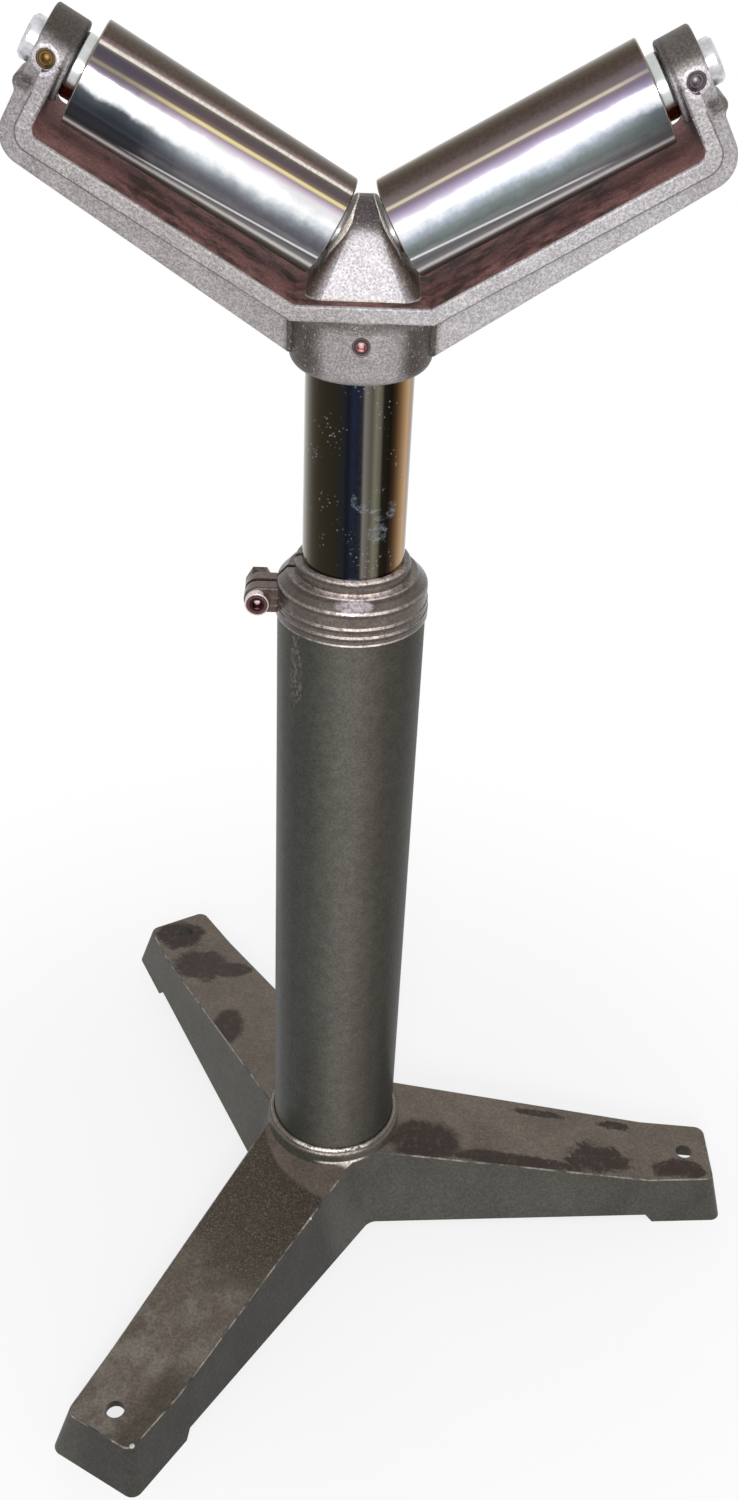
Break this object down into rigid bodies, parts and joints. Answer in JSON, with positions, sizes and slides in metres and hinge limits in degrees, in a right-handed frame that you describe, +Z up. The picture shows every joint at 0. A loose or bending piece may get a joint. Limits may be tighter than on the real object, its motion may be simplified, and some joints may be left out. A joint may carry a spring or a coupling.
{
  "type": "v roller stand",
  "caption": "Floor stand on a cast tripod base, with a sliding post and a V head whose rollers carry pipe or bar stock, held by a clamp collar.",
  "frame": {"origin": "where the column's axis meets the floor", "axes": "+Z up along the column and post; +X along one leg; the head's arms spread along X and the clamp screw's head faces -Y"},
  "size_m": [0.4292, 0.4886, 0.7377],
  "materials": {
    "base_paint": "dark grey hammertone paint on a rough casting",
    "column_paint": "dark grey hammertone paint, semi-gloss",
    "head_paint": "silver grey hammertone paint on a rough casting",
    "post_chrome": "bright hard chrome",
    "roller_chrome": "bright polished chrome",
    "zinc": "pale zinc plate",
    "screw_steel": "dull yellowish plated steel",
    "bearing_steel": "ground bearing steel",
    "spring_steel": "black spring steel",
    "guide_iron": "machined cast iron"
  },
  "bodies": {
    "base": {"base_casting": "base_paint", "column_tube": "column_paint", "column_bead": "base_paint", "clamp_collar": "column_paint"},
    "clamp_screw": {"clamp_screw": "screw_steel"},
    "clamp_nut": {"clamp_nut": "zinc"},
    "carriage": {"post_guide_ring": "guide_iron"},
    "head": {"post_tube": "post_chrome", "post_clips": "spring_steel", "head_casting": "head_paint", "post_set_screw": "screw_steel", "left_axle": "zinc", "left_axle_set_screw": "screw_steel", "left_axle_clips": "spring_steel", "left_bearing_inner_rings": "bearing_steel", "right_axle": "zinc", "right_axle_set_screw": "screw_steel", "right_axle_clips": "spring_steel", "right_bearing_inner_rings": "bearing_steel"},
    "left_roller": {"left_roller_tube": "roller_chrome", "left_roller_clips": "spring_steel", "left_bearing_outer_rings": "bearing_steel", "left_bearing_shields": "zinc"},
    "left_ball_set": {"left_bearing_balls": "bearing_steel", "left_bearing_cages": "guide_iron"},
    "right_roller": {"right_roller_tube": "roller_chrome", "right_roller_clips": "spring_steel", "right_bearing_outer_rings": "bearing_steel", "right_bearing_shields": "zinc"},
    "right_ball_set": {"right_bearing_balls": "bearing_steel", "right_bearing_cages": "guide_iron"}
  },
  "joints": [
    {"name": "post_lift", "type": "slide", "parent": "base", "child": "carriage", "axis": [0, 0, 1], "range_m": [-0.103, 0.2875]},
    {"name": "head_swivel", "type": "hinge", "parent": "carriage", "child": "head", "pos_m": [0, 0, 0.13], "axis": [0, 0, 1], "continuous": true},
    {"name": "clamp_screw_turn", "type": "hinge", "parent": "base", "child": "clamp_screw", "pos_m": [-0.0494, 0, 0.458], "axis": [0, 1, 0], "range_deg": [-720, 0]},
    {"name": "clamp_nut_travel", "type": "slide", "parent": "base", "child": "clamp_nut", "axis": [0, 1, 0], "range_m": [0, 0.0025]},
    {"name": "left_roller_spin", "type": "hinge", "parent": "head", "child": "left_roller", "pos_m": [-0.0698, 0, 0.68], "axis": [-0.866, 0, 0.5], "continuous": true},
    {"name": "left_balls_spin", "type": "hinge", "parent": "head", "child": "left_ball_set", "pos_m": [-0.0698, 0, 0.68], "axis": [-0.866, 0, 0.5], "continuous": true},
    {"name": "right_roller_spin", "type": "hinge", "parent": "head", "child": "right_roller", "pos_m": [0.0698, 0, 0.68], "axis": [0.866, 0, 0.5], "continuous": true},
    {"name": "right_balls_spin", "type": "hinge", "parent": "head", "child": "right_ball_set", "pos_m": [0.0698, 0, 0.68], "axis": [0.866, 0, 0.5], "continuous": true}
  ],
  "couplings": [
    {"joint": "clamp_nut_travel", "follows": "clamp_screw_turn", "m_per_rad": -0.00019892},
    {"joint": "left_balls_spin", "follows": "left_roller_spin", "ratio": 0.60243},
    {"joint": "right_balls_spin", "follows": "right_roller_spin", "ratio": 0.60243}
  ]
}
